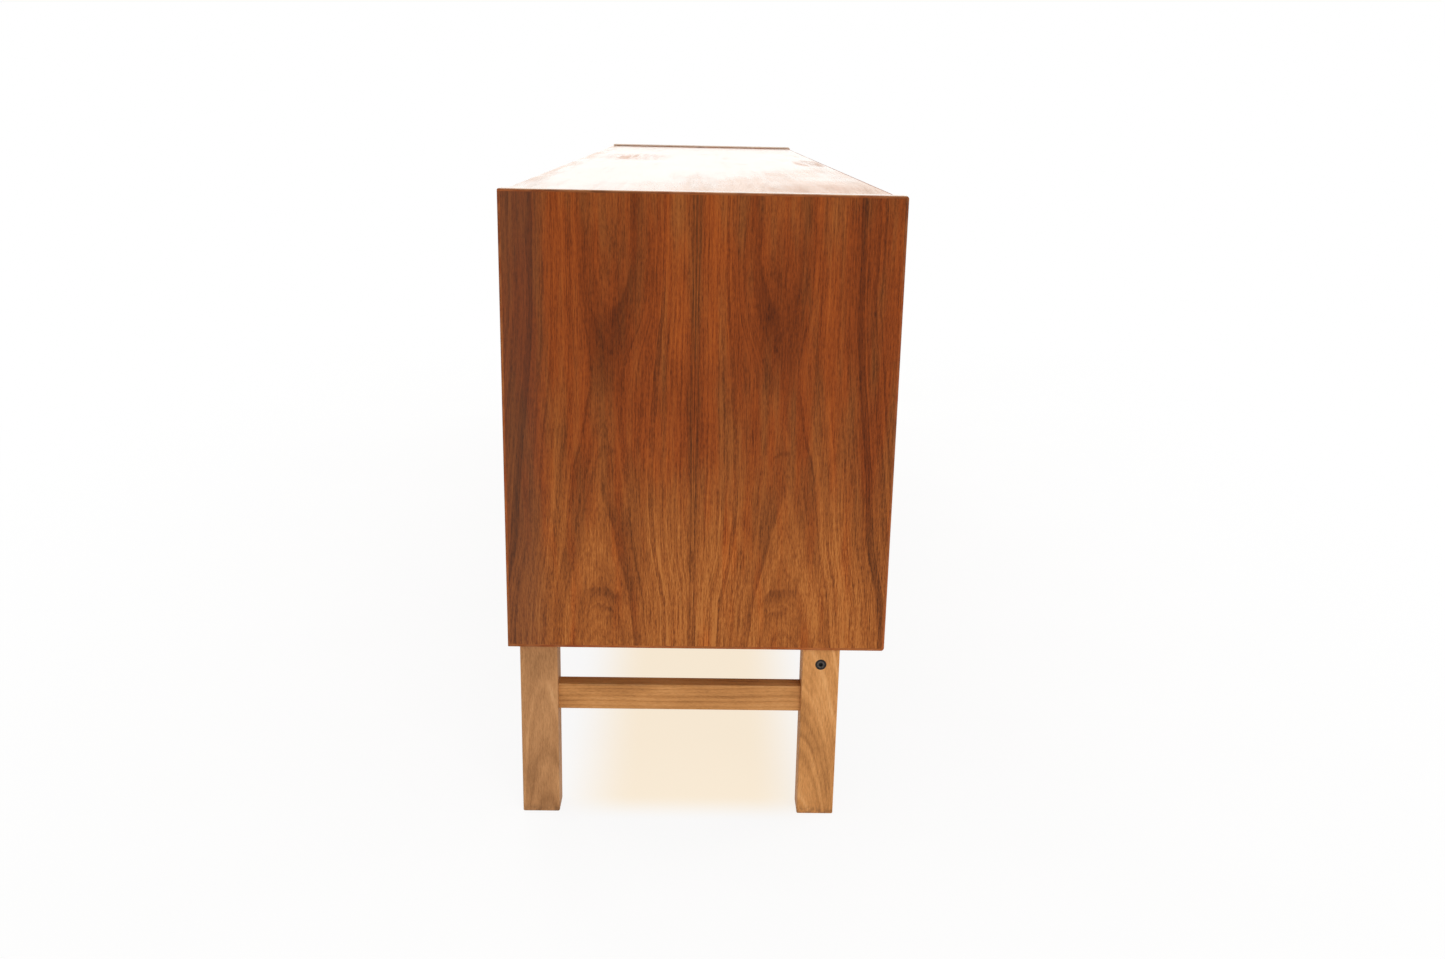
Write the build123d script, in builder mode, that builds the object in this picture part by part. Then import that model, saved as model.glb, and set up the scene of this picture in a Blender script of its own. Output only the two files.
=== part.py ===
from build123d import *
import os

# Sideboard buffet: a veneered case on a solid wood base frame. The middle bay holds four drawers, and
# the bays beside it close with sliding doors. Millimetres, +Z up, the front faces -Y, +X is to the right
# seen from the front, and the origin lies on the floor under the middle of the case.

# Overall size
length = 2000.0
depth = 440.0
height = 740.0
case_height = 523.0
end_lip = 4.0

# Boards of the case
end_board = 20.0
top_board = 22.0
bottom_board = 20.0
divider_board = 18.0
back_board = 6.0
front_setback = 4.0
divider_setback = 8.0
drawer_bay = 456.0
rebate_lap = 8.0
rebate_depth = 8.0
back_play = 1.0

# Solid lippings on the edges of the boards
lipping = 3.0
front_round = 2.0
edge_round = 1.0
front_corner = 4.0
rear_corner = 2.5
glue_gap = 0.1

# Dowels of the case
dowel_radius = 4.0
dowel_in_end = 12.0
dowel_in_board = 23.0
dowel_in_top = 10.0
dowel_relief = 1.0
dowel_inset = 85.0
dowel_count = 4

# Sliding doors
door_board = 16.0
door_setback = 14.0
door_overlap = 40.0
door_side_gap = 1.0
door_end_gap = 2.0
door_passing_gap = 4.0
door_round = 0.8
tongue = 6.0
tongue_reach = 5.0

# Turned cup pulls of the doors
cup_radius = 28.0
cup_depth = 11.5
cup_rim = 3.0
cup_floor = 2.5
cup_inset = 58.0

# Glides under the doors
glide_length = 40.0
glide_seat = 10.0
glide_inset = 50.0

# Door tracks
channel_play = 0.5
upper_channel = 11.0
lower_channel = 5.0
track_wall = 3.0
track_web = 2.0

# Shelves and their pins
shelf_board = 16.0
shelf_height = 236.0
shelf_side_gap = 2.0
shelf_door_gap = 10.0
shelf_back_gap = 2.0
shelf_round = 1.5
pin_radius = 2.5
pin_seat = 10.0
pin_reach = 9.0
pin_collar = 4.0
pin_collar_thickness = 1.5
pin_inset = 50.0
pin_pitch = 48.0
pin_rows = 3

# Drawers
drawer_1_height = 96.0
drawer_2_height = 110.0
drawer_3_height = 122.0
drawer_gap = 3.0
drawer_front = 18.0
drawer_play = 1.5
drawer_length = 380.0
drawer_side = 12.0
drawer_back = 12.0
drawer_back_setback = 8.0
drawer_back_drop = 5.0
drawer_bottom = 5.0
drawer_bottom_lift = 8.0
drawer_bottom_groove = 5.0
drawer_back_housing = 3.0
box_lift = 8.0
box_drop = 16.0

# Dovetails between drawer sides and fronts
tail_count = 3
tail_length = 12.0
tail_flare = 2.0
tail_pin = 10.0

# Drawer pulls
pull_length = 130.0
pull_height = 18.0
pull_reach = 13.0
pull_end = 4.0
pull_round = 1.8
pull_tenon_radius = 4.0
pull_tenon_length = 12.0
pull_tenon_pitch = 80.0

# Drawer runners
runner_height = 12.0
runner_lift = 28.0
runner_groove = 6.0
runner_play = 0.5
runner_stop = 20.0
runner_tail = 4.0

# Base
front_leg_inset = 51.0
rear_leg_inset = 13.0
leg_setback = 6.0
leg_width = 44.0
leg_thickness = 35.0
leg_round = 2.0
foot_round = 1.5
cross_rail_gap = 52.0
cross_rail_height = 32.0
cross_rail_thickness = 22.0
cross_rail_round = 1.5
tenon_thickness = 10.0
tenon_shoulder = 5.0
tenon_length = 22.0
tenon_relief = 1.0
long_rail_height = 42.0
long_rail_thickness = 22.0
long_rail_round = 1.0

# Leg bolts, barrel nuts and rail dowels
bolt_radius = 3.0
bolt_head_radius = 6.5
bolt_tip = 4.0
bolt_play = 0.25
socket_radius = 2.3
socket_depth = 2.6
nut_radius = 5.0
nut_length = 16.0
nut_inset = 30.0
rail_dowel_radius = 5.0
rail_dowel_in_leg = 24.0
rail_dowel_in_rail = 30.0
rail_dowel_pitch = 20.0

# Wood screws
screw_play = 0.1
screw_slot = 0.8
screw_slot_depth = 0.7
screw_relief = 1.0
small_screw_radius = 1.6
small_screw_head = 3.2
small_screw_length = 20.0
back_screw_inset = 30.0
back_screw_count = 6
divider_screw_inset = 118.5
runner_screw_inset = 40.0
base_screw_radius = 2.4
base_screw_head = 4.6
base_screw_length = 38.0
base_screw_inset = 359.0
base_screw_count = 3
base_screw_recess = 18.0

# Levels and planes that several pieces share
half = length / 2
front = -depth / 2
back = depth / 2
inner = half - end_board
case_bottom = height - case_height
bay_floor = case_bottom + bottom_board
top_face = height - end_lip
ceiling = top_face - top_board
board_front = front + front_setback
divider_front = front + divider_setback
divider_inner = drawer_bay / 2
divider_outer = divider_inner + divider_board
divider_mid = divider_inner + divider_board / 2
back_inside = back - rebate_depth
back_outside = back_inside + back_board
door_face = front + door_setback
front_channel = door_face + door_board / 2
rear_channel = front_channel + door_board + door_passing_gap
channel_half = tongue / 2 + channel_play
track_front = front_channel - channel_half - track_wall
track_back = rear_channel + channel_half + track_wall
door_bay = inner - divider_outer
door_width = (door_bay - 2 * door_side_gap + door_overlap) / 2
door_foot = bay_floor + door_end_gap
door_head = ceiling - door_end_gap
shelf_level = bay_floor + shelf_height
shelf_front = rear_channel + door_board / 2 + shelf_door_gap
shelf_back = back_inside - shelf_back_gap
front_leg_mid = front + front_leg_inset + leg_width / 2
rear_leg_mid = back - rear_leg_inset - leg_width / 2
leg_outer = half - leg_setback
leg_inner = leg_outer - leg_thickness
leg_mid = leg_outer - leg_thickness / 2
long_rail_low = case_bottom - long_rail_height
long_rail_mid = case_bottom - long_rail_height / 2
cross_rail_high = case_bottom - cross_rail_gap
cross_rail_low = cross_rail_high - cross_rail_height
side_outer = divider_inner - drawer_play
side_inner = side_outer - drawer_side
drawer_inside = door_face + drawer_front
tail_end = drawer_inside - tail_length
drawer_rear = door_face + drawer_length
groove_front = drawer_inside + runner_stop
runner_inner = side_outer - runner_groove + runner_play
runner_back = drawer_rear - runner_tail
sides = (-1, 1)
side_names = {-1: "left", 1: "right"}
bays = {-1: (-inner, -divider_outer), 1: (divider_outer, inner)}

# Front heights from the top drawer down; the lowest drawer takes the rest of the bay
drawer_heights = [drawer_1_height, drawer_2_height, drawer_3_height]
drawer_heights.append(ceiling - bay_floor - sum(drawer_heights) - (len(drawer_heights) + 2) * drawer_gap)
drawer_fronts = []
for front_height in drawer_heights:
    upper = drawer_fronts[-1][0] if drawer_fronts else ceiling
    drawer_fronts.append((upper - drawer_gap - front_height, upper - drawer_gap))


def block(x, y, z, mode=Mode.ADD):
    """Add or cut a box given by its two limits on each axis."""
    with Locations((sum(x) / 2, sum(y) / 2, sum(z) / 2)):
        Box(abs(x[1] - x[0]), abs(y[1] - y[0]), abs(z[1] - z[0]), mode=mode)


def rod(radius, low, high, mode=Mode.ADD):
    """Add or cut a cylinder along the local Z axis between two heights."""
    with Locations((0, 0, low)):
        Cylinder(radius, high - low, align=(Align.CENTER, Align.CENTER, Align.MIN), mode=mode)


def around(middle, width):
    """Limits of a span of the given width about its middle."""
    return (middle - width / 2, middle + width / 2)


def save(piece, name):
    """Label a finished piece and write it to its own file."""
    piece.part.label = name
    export_step(piece.part, f"parts/{name}.step")


os.makedirs("parts", exist_ok=True)


# Dowel joints of the case: planes on the joint faces with Z towards the board that takes the short end
def end_joint(side, level):
    return Plane((side * inner, 0, level), x_dir=(0, 1, 0), z_dir=(side, 0, 0))


def divider_joint(side, level, direction):
    return Plane((side * divider_mid, 0, level), x_dir=(0, 1, 0), z_dir=(0, 0, direction))


top_middle = (ceiling + top_face) / 2
bottom_middle = (case_bottom + bay_floor) / 2
end_joints = [end_joint(side, level) for side in sides for level in (top_middle, bottom_middle)]
upper_joints = [divider_joint(side, ceiling, 1) for side in sides]
lower_joints = [divider_joint(side, bay_floor, -1) for side in sides]
dowel_pitch = (depth - 2 * dowel_inset) / (dowel_count - 1)


def dowel_row(joints, low, high):
    """Rows of dowels across the given joints."""
    with Locations(*joints):
        with GridLocations(dowel_pitch, dowel_pitch, dowel_count, 1):
            rod(dowel_radius, low, high)


def dowel_holes(joints, low, high):
    """Holes for those dowels, with room for glue round them and at the end."""
    with Locations(*joints):
        with GridLocations(dowel_pitch, dowel_pitch, dowel_count, 1):
            rod(dowel_radius + glue_gap, low, high, Mode.SUBTRACT)


# Slotted countersunk wood screws: placed by the plane of the head, with the shank along -Z
def screw(radius, head_radius, screw_length):
    """Screw with a 90 degree head and a driver slot."""
    head = head_radius - radius
    with Locations((0, 0, -head)):
        Cone(radius, head_radius, head, align=(Align.CENTER, Align.CENTER, Align.MIN))
    rod(radius, -screw_length, -head)
    with Locations((0, 0, -screw_slot_depth / 2)):
        Box(2 * head_radius, screw_slot, screw_slot_depth, mode=Mode.SUBTRACT)


def screw_hole(radius, head_radius, screw_length):
    """Countersunk hole for such a screw in the piece under its head."""
    CounterSinkHole(radius + screw_play, head_radius + screw_play, screw_length + screw_relief, 90)


def pilot_hole(radius, screw_length):
    """Plain hole for the screw's shank in the piece behind."""
    rod(radius + screw_play, -screw_length - screw_relief, 0, Mode.SUBTRACT)


# Places of the back board's screws: two long rows, and a pair behind each divider
back_screw_pitch = 2 * (inner - back_screw_inset) / (back_screw_count - 1)
divider_screw_pitch = ceiling - bay_floor - 2 * divider_screw_inset


def back_plane(x, level):
    return Plane((x, back_outside, level), x_dir=(1, 0, 0), z_dir=(0, 1, 0))


def at_back_row(level):
    with Locations(back_plane(0, level)):
        return GridLocations(back_screw_pitch, back_screw_pitch, back_screw_count, 1).locations


def at_divider(side):
    with Locations(back_plane(side * divider_mid, (bay_floor + ceiling) / 2)):
        return GridLocations(divider_screw_pitch, divider_screw_pitch, 1, 2).locations


top_screws = at_back_row(ceiling + rebate_lap / 2)
bottom_screws = at_back_row(bay_floor - rebate_lap / 2)
divider_screws = at_divider(-1) + at_divider(1)


# Base screws come up through the long rails, with their heads sunk deep in the rail
base_screw_pitch = 2 * (leg_inner - base_screw_inset) / (base_screw_count - 1)


def at_rail(rail_mid, level):
    with Locations(Plane((0, rail_mid, level), x_dir=(1, 0, 0), z_dir=(0, 0, -1))):
        return GridLocations(base_screw_pitch, base_screw_pitch, base_screw_count, 1).locations


screw_head_level = long_rail_low + base_screw_recess
base_screw_places = at_rail(front_leg_mid, screw_head_level) + at_rail(rear_leg_mid, screw_head_level)

with BuildPart() as base_screws:
    with Locations(*base_screw_places):
        screw(base_screw_radius, base_screw_head, base_screw_length)
save(base_screws, "base_screws")


# Shelf pins: a grid of holes in each wall of a side bay, with pins in the middle row
pin_level = shelf_level - pin_radius
pin_middle = (shelf_front + shelf_back) / 2
pin_span = shelf_back - shelf_front - 2 * pin_inset


def wall(x, direction):
    return Plane((x, pin_middle, pin_level), x_dir=(0, 1, 0), z_dir=(direction, 0, 0))


def pin_holes(x, direction):
    """Cut the grid of pin holes into one wall."""
    with Locations(wall(x, direction)):
        with GridLocations(pin_span, pin_pitch, 2, pin_rows):
            rod(pin_radius + glue_gap, -pin_seat - glue_gap, 0, Mode.SUBTRACT)


with BuildPart() as shelf_pins:
    for low, high in bays.values():
        with Locations(wall(low, 1), wall(high, -1)):
            with GridLocations(pin_span, pin_span, 2, 1):
                rod(pin_radius, -pin_seat, pin_reach)
                rod(pin_collar, 0, pin_collar_thickness)
save(shelf_pins, "shelf_pins")

for side, (low, high) in bays.items():
    with BuildPart() as shelf:
        block((low + shelf_side_gap, high - shelf_side_gap), (shelf_front, shelf_back),
              (shelf_level, shelf_level + shelf_board))
        fillet(shelf.faces().sort_by(Axis.Y)[0].edges().filter_by(Axis.X), radius=shelf_round)
    save(shelf, f"{side_names[side]}_shelf")


# End panels, with a stopped rebate for the back board and lippings glued round all four edges
def back_rebate(side):
    """Cut the rebate that takes one end of the back board."""
    block((side * inner, side * (inner + rebate_lap)), (back_inside, back),
          (bay_floor - rebate_lap, ceiling + rebate_lap), Mode.SUBTRACT)


for side in sides:
    with BuildPart() as end_panel:
        block((side * inner, side * half), (front + lipping, back - lipping),
              (case_bottom + lipping, height - lipping))
        back_rebate(side)
        dowel_holes([end_joint(side, top_middle), end_joint(side, bottom_middle)],
                    0, dowel_in_end + dowel_relief)
        pin_holes(side * inner, -side)
    save(end_panel, f"{side_names[side]}_end_panel")

with BuildPart() as end_lippings:
    between = (front + lipping + glue_gap, back - lipping - glue_gap)
    for side in sides:
        block((side * inner, side * half), (front, front + lipping), (case_bottom, height))
    fillet(end_lippings.faces().group_by(Axis.Y)[0].edges(), radius=front_round)
    for side in sides:
        block((side * inner, side * half), (back - lipping, back), (case_bottom, height))
    fillet(end_lippings.faces().group_by(Axis.Y)[-1].edges(), radius=edge_round)
    for side in sides:
        block((side * inner, side * half), between, (height - lipping, height))
    upper_faces = end_lippings.faces().group_by(Axis.Z)[-1].sort_by(SortBy.AREA)[-2:]
    fillet(upper_faces.edges().filter_by(Axis.Y), radius=edge_round)
    for side in sides:
        block((side * inner, side * half), between, (case_bottom, case_bottom + lipping))
        back_rebate(side)
    for edge, inward, level, upward, radius in (
        (front, 1, height, -1, front_corner),
        (front, 1, case_bottom, 1, front_corner),
        (back, -1, height, -1, rear_corner),
    ):
        with BuildSketch(Plane.YZ):
            with Locations((edge + inward * radius / 2, level + upward * radius / 2)):
                Rectangle(radius, radius)
            with Locations((edge + inward * radius, level + upward * radius)):
                Circle(radius, mode=Mode.SUBTRACT)
        extrude(amount=half, both=True, mode=Mode.SUBTRACT)
save(end_lippings, "end_lippings")


# Top and bottom between the end panels, rebated at the back and grooved for the door tracks
whole = (-inner, inner)
under_back = (back_inside, back)

with BuildPart() as top_panel:
    block(whole, (board_front + lipping, back), (ceiling, top_face))
    block(whole, under_back, (ceiling, ceiling + rebate_lap), Mode.SUBTRACT)
    for bay in bays.values():
        block(bay, (track_front, track_back), (ceiling, ceiling + upper_channel + track_web), Mode.SUBTRACT)
    dowel_holes([end_joint(side, top_middle) for side in sides], -dowel_in_board - dowel_relief, 0)
    dowel_holes(upper_joints, 0, dowel_in_top + dowel_relief)
    with Locations(*top_screws):
        pilot_hole(small_screw_radius, small_screw_length)
save(top_panel, "top_panel")

with BuildPart() as bottom_panel:
    block(whole, (board_front + lipping, back), (case_bottom, bay_floor))
    block(whole, under_back, (bay_floor - rebate_lap, bay_floor), Mode.SUBTRACT)
    for bay in bays.values():
        block(bay, (track_front, track_back), (bay_floor - lower_channel - track_web, bay_floor),
              Mode.SUBTRACT)
    dowel_holes([end_joint(side, bottom_middle) for side in sides], -dowel_in_board - dowel_relief, 0)
    dowel_holes(lower_joints, 0, dowel_in_top + dowel_relief)
    with Locations(*bottom_screws):
        pilot_hole(small_screw_radius, small_screw_length)
    with Locations(*base_screw_places):
        pilot_hole(base_screw_radius, base_screw_length)
save(bottom_panel, "bottom_panel")


# Dividers, with pin holes towards the side bays and screw holes for the drawer runners
def runner_levels(low):
    """Lower and upper edge of the runners of the drawer whose front starts at this level."""
    return (low + box_lift + runner_lift, low + box_lift + runner_lift + runner_height)


runner_span = runner_back - groove_front - runner_play - 2 * runner_screw_inset
runner_middle = (groove_front + runner_play + runner_back) / 2


def at_runners(side):
    places = []
    for low, high in drawer_fronts:
        level = sum(runner_levels(low)) / 2
        with Locations(Plane((side * runner_inner, runner_middle, level), (0, 1, 0), (-side, 0, 0))):
            places += GridLocations(runner_span, runner_span, 2, 1).locations
    return places


for side in sides:
    with BuildPart() as divider:
        block((side * divider_inner, side * divider_outer), (divider_front + lipping, back_inside),
              (bay_floor, ceiling))
        for joint in (divider_joint(side, ceiling, 1), divider_joint(side, bay_floor, -1)):
            dowel_holes([joint], -dowel_in_board - dowel_relief, 0)
        pin_holes(side * divider_outer, side)
        with Locations(*at_runners(side)):
            pilot_hole(small_screw_radius, small_screw_length)
        with Locations(*at_divider(side)):
            pilot_hole(small_screw_radius, small_screw_length)
    save(divider, f"{side_names[side]}_divider")

with BuildPart() as front_lippings:
    block(whole, (board_front, board_front + lipping), (ceiling, top_face))
    block(whole, (board_front, board_front + lipping), (case_bottom, bay_floor))
    for side in sides:
        block((side * divider_inner, side * divider_outer), (divider_front, divider_front + lipping),
              (bay_floor + glue_gap, ceiling - glue_gap))
    front_edges = front_lippings.edges().group_by(Axis.Y)[0].filter_by(Axis.X)
    divider_edges = front_lippings.edges().filter_by(Axis.Z).filter_by_position(
        Axis.Y, divider_front - glue_gap, divider_front + glue_gap)
    fillet(front_edges + divider_edges, radius=edge_round)
save(front_lippings, "front_lippings")

with BuildPart() as back_panel:
    reach = inner + rebate_lap - back_play
    block((-reach, reach), (back_inside, back_outside),
          (bay_floor - rebate_lap + back_play, ceiling + rebate_lap - back_play))
    with Locations(*top_screws, *bottom_screws, *divider_screws):
        screw_hole(small_screw_radius, small_screw_head, small_screw_length)
save(back_panel, "back_panel")


# Door tracks: a deep double channel let into the top and a shallow one let into the bottom
with BuildPart() as upper_tracks:
    for bay in bays.values():
        block(bay, (track_front, track_back), (ceiling, ceiling + upper_channel + track_web))
        for channel in (front_channel, rear_channel):
            block(bay, around(channel, 2 * channel_half), (ceiling, ceiling + upper_channel), Mode.SUBTRACT)
save(upper_tracks, "upper_tracks")

with BuildPart() as lower_tracks:
    for bay in bays.values():
        block(bay, (track_front, track_back), (bay_floor - lower_channel - track_web, bay_floor))
        for channel in (front_channel, rear_channel):
            block(bay, around(channel, 2 * channel_half), (bay_floor - lower_channel, bay_floor),
                  Mode.SUBTRACT)
save(lower_tracks, "lower_tracks")


# Sliding doors: a tongue runs in the upper track, and glides under the door in the lower one
def sliding_door(name, low, channel, cup_x):
    high = low + door_width
    face = channel - door_board / 2
    glide_mids = (low + glide_inset, high - glide_inset)
    cup_level = (door_foot + door_head) / 2
    cup_plane = Plane((cup_x, face, cup_level), x_dir=(1, 0, 0), z_dir=(0, -1, 0))

    with BuildPart() as panel:
        block((low, high), around(channel, door_board), (door_foot, door_head))
        fillet(panel.edges().filter_by(Axis.Z), radius=door_round)
        block((low, high), around(channel, tongue), (door_head, ceiling + tongue_reach))
        for glide_mid in glide_mids:
            block(around(glide_mid, glide_length + 2 * glue_gap), around(channel, tongue + 2 * glue_gap),
                  (door_foot, door_foot + glide_seat + glue_gap), Mode.SUBTRACT)
        with Locations(cup_plane):
            rod(cup_radius + glue_gap, -cup_depth, 0, Mode.SUBTRACT)
    save(panel, f"{name}_panel")

    with BuildPart() as glides:
        for glide_mid in glide_mids:
            block(around(glide_mid, glide_length), around(channel, tongue),
                  (bay_floor - lower_channel, door_foot + glide_seat))
    save(glides, f"{name}_glides")

    dish_depth = cup_depth - cup_floor
    dish_radius = cup_radius - cup_rim
    with BuildPart() as cup:
        with BuildSketch(Plane((cup_x, face, cup_level), x_dir=(1, 0, 0), z_dir=(0, 0, -1))):
            with BuildLine():
                Polyline((0, -dish_depth), (0, -cup_depth), (cup_radius, -cup_depth), (cup_radius, 0),
                         (dish_radius, 0))
                TangentArc((0, -dish_depth), (dish_radius, 0), tangent=(1, 0))
            make_face()
        revolve(axis=Axis((cup_x, face, cup_level), (0, -1, 0)))
    save(cup, f"{name}_cup")


for side, (low, high) in bays.items():
    first = low + door_side_gap
    last = high - door_side_gap - door_width
    rows = [("outer", rear_channel), ("inner", front_channel)][::-side]
    first_name, first_channel = rows[0]
    last_name, last_channel = rows[1]
    sliding_door(f"{side_names[side]}_{first_name}_door", first, first_channel, first + cup_inset)
    sliding_door(f"{side_names[side]}_{last_name}_door", last, last_channel, last + door_width - cup_inset)


# Drawer runners: strips screwed to the dividers, which carry the drawers by grooves in their sides
with BuildPart() as drawer_runners:
    for side in sides:
        for low, high in drawer_fronts:
            block((side * runner_inner, side * divider_inner), (groove_front + runner_play, runner_back),
                  runner_levels(low))
        with Locations(*at_runners(side)):
            screw_hole(small_screw_radius, small_screw_head, small_screw_length)
save(drawer_runners, "drawer_runners")

with BuildPart() as small_screws:
    with Locations(*top_screws, *bottom_screws, *divider_screws, *at_runners(-1), *at_runners(1)):
        screw(small_screw_radius, small_screw_head, small_screw_length)
save(small_screws, "small_screws")


# Drawers: lapped dovetails hold the sides in the front, and the bottom slides into grooves under the back
def tails(side, box, room, mode=Mode.ADD):
    """Add the tails of one drawer side, or cut their sockets with some room around them."""
    pitch = (box[1] - box[0]) / tail_count
    tip = (pitch - tail_pin) / 2 + room
    root = tip - tail_flare
    inner_face = Plane((side * (side_inner - room), 0, 0), x_dir=(0, 1, 0), z_dir=(1, 0, 0))
    with BuildSketch(inner_face) as profile:
        for number in range(tail_count):
            middle = box[0] + (number + 0.5) * pitch
            with BuildLine():
                Polyline((drawer_inside, middle - root), (tail_end - room, middle - tip),
                         (tail_end - room, middle + tip), (drawer_inside, middle + root), close=True)
            make_face()
    extrude(profile.sketch, amount=side * (drawer_side + 2 * room), mode=mode)


def drawer(number, low, high):
    box = (low + box_lift, high - box_drop)
    bottom_low = box[0] + drawer_bottom_lift
    bottom_high = bottom_low + drawer_bottom
    groove = (bottom_low - glue_gap, bottom_high + glue_gap)
    back_span = (drawer_rear - drawer_back_setback - drawer_back, drawer_rear - drawer_back_setback)
    runner_low, runner_high = runner_levels(low)
    middle = (low + high) / 2
    tenon_plane = Plane((0, door_face, middle), x_dir=(1, 0, 0), z_dir=(0, 1, 0))

    with BuildPart() as drawer_face:
        block((-side_outer, side_outer), (door_face, drawer_inside), (low, high))
        fillet(drawer_face.faces().sort_by(Axis.Y)[0].edges(), radius=door_round)
        for side in sides:
            tails(side, box, glue_gap, Mode.SUBTRACT)
        block((-side_inner, side_inner), (drawer_inside - drawer_bottom_groove, drawer_inside), groove,
              Mode.SUBTRACT)
        with Locations(tenon_plane):
            with GridLocations(pull_tenon_pitch, pull_tenon_pitch, 2, 1):
                rod(pull_tenon_radius + glue_gap, 0, pull_tenon_length + glue_gap, Mode.SUBTRACT)
    save(drawer_face, f"drawer_{number}_front")

    with BuildPart() as drawer_sides:
        for side in sides:
            block((side * side_inner, side * side_outer), (drawer_inside, drawer_rear), box)
            tails(side, box, 0)
            block((side * (side_outer - runner_groove), side * side_outer), (groove_front, drawer_rear),
                  (runner_low - runner_play, runner_high), Mode.SUBTRACT)
            block((side * side_inner, side * (side_inner + drawer_bottom_groove)), (tail_end, drawer_rear),
                  groove, Mode.SUBTRACT)
            block((side * side_inner, side * (side_inner + drawer_back_housing)),
                  (back_span[0] - glue_gap, back_span[1] + glue_gap), (bottom_high, box[1]), Mode.SUBTRACT)
    save(drawer_sides, f"drawer_{number}_sides")

    with BuildPart() as drawer_rear_board:
        reach = side_inner + drawer_back_housing - glue_gap
        block((-reach, reach), back_span, (bottom_high, box[1] - drawer_back_drop))
    save(drawer_rear_board, f"drawer_{number}_back")

    with BuildPart() as drawer_floor:
        reach = side_inner + drawer_bottom_groove - glue_gap
        block((-reach, reach), (drawer_inside - drawer_bottom_groove + glue_gap, back_span[1]),
              (bottom_low, bottom_high))
        for side in sides:
            block((side * side_inner, side * reach), (tail_end, drawer_inside), (bottom_low, bottom_high),
                  Mode.SUBTRACT)
    save(drawer_floor, f"drawer_{number}_bottom")

    with BuildPart() as pull:
        with BuildSketch(Plane((0, door_face, middle - pull_height / 2), (1, 0, 0), (0, 0, 1))):
            with BuildLine():
                Polyline((-pull_length / 2, -pull_end), (-pull_length / 2, 0), (pull_length / 2, 0),
                         (pull_length / 2, -pull_end))
                ThreePointArc((pull_length / 2, -pull_end), (0, -pull_reach), (-pull_length / 2, -pull_end))
            make_face()
        extrude(amount=pull_height)
        fillet(pull.edges().filter_by_position(Axis.Y, -depth, door_face - glue_gap), radius=pull_round)
        with Locations(tenon_plane):
            with GridLocations(pull_tenon_pitch, pull_tenon_pitch, 2, 1):
                rod(pull_tenon_radius, 0, pull_tenon_length)
    save(pull, f"drawer_{number}_pull")


for number, (low, high) in enumerate(drawer_fronts, start=1):
    drawer(number, low, high)


# Base: two leg frames with tenoned cross rails, joined by long rails under the case
tenon_height = cross_rail_height - 2 * tenon_shoulder
cross_rail_mid = (cross_rail_low + cross_rail_high) / 2
cross_rail_ends = (front_leg_mid + leg_width / 2, rear_leg_mid - leg_width / 2)
bolt_length = leg_thickness + nut_inset + nut_radius + bolt_tip


def bolt_plane(side):
    """Plane of the bolt head on the outer face of a front leg."""
    return Plane((side * leg_outer, front_leg_mid, long_rail_mid), x_dir=(0, 1, 0), z_dir=(side, 0, 0))


def nut_plane(side):
    """Plane through the middle of a barrel nut, with Z along the nut."""
    return Plane((side * (leg_inner - nut_inset), front_leg_mid, long_rail_mid), (1, 0, 0), (0, 1, 0))


def rail_joint(side):
    """Plane of the rear rail's joint with a leg, with Z into the leg."""
    return Plane((side * leg_inner, rear_leg_mid, long_rail_mid), x_dir=(0, 1, 0), z_dir=(side, 0, 0))


def rail_dowel_holes(side, low, high):
    with Locations(rail_joint(side)):
        with GridLocations(rail_dowel_pitch, rail_dowel_pitch, 1, 2):
            rod(rail_dowel_radius + glue_gap, low, high, Mode.SUBTRACT)


for side in sides:
    for row, middle, inward in (("front", front_leg_mid, 1), ("rear", rear_leg_mid, -1)):
        with BuildPart() as leg:
            block((side * leg_inner, side * leg_outer), around(middle, leg_width), (0, case_bottom))
            fillet(leg.edges().filter_by(Axis.Z), radius=leg_round)
            fillet(leg.faces().sort_by(Axis.Z)[0].edges(), radius=foot_round)
            rail_face = middle + inward * leg_width / 2
            block(around(side * leg_mid, tenon_thickness + 2 * glue_gap),
                  (rail_face, rail_face - inward * (tenon_length + tenon_relief)),
                  around(cross_rail_mid, tenon_height + 2 * glue_gap), Mode.SUBTRACT)
            if row == "front":
                with Locations(bolt_plane(side)):
                    CounterSinkHole(bolt_radius + bolt_play, bolt_head_radius + bolt_play, leg_thickness, 90)
            else:
                rail_dowel_holes(side, 0, rail_dowel_in_leg + dowel_relief)
        save(leg, f"{row}_{side_names[side]}_leg")

    with BuildPart() as cross_rail:
        block(around(side * leg_mid, cross_rail_thickness), cross_rail_ends,
              (cross_rail_low, cross_rail_high))
        fillet(cross_rail.edges().filter_by(Axis.Y), radius=cross_rail_round)
        block(around(side * leg_mid, tenon_thickness),
              (cross_rail_ends[0] - tenon_length, cross_rail_ends[1] + tenon_length),
              around(cross_rail_mid, tenon_height))
    save(cross_rail, f"{side_names[side]}_cross_rail")

with BuildPart() as front_long_rail:
    block((-leg_inner, leg_inner), around(front_leg_mid, long_rail_thickness), (long_rail_low, case_bottom))
    fillet(front_long_rail.faces().sort_by(Axis.Z)[0].edges().filter_by(Axis.X), radius=long_rail_round)
    for side in sides:
        with Locations(bolt_plane(side)):
            rod(bolt_radius + bolt_play, -bolt_length - dowel_relief, -leg_thickness, Mode.SUBTRACT)
        with Locations(nut_plane(side)):
            rod(nut_radius + bolt_play, -nut_length / 2, long_rail_thickness / 2, Mode.SUBTRACT)
    with Locations(*at_rail(front_leg_mid, long_rail_low)):
        rod(base_screw_head + bolt_play, -base_screw_recess, 0, Mode.SUBTRACT)
    with Locations(*at_rail(front_leg_mid, screw_head_level)):
        screw_hole(base_screw_radius, base_screw_head, base_screw_length)
save(front_long_rail, "front_long_rail")

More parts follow.
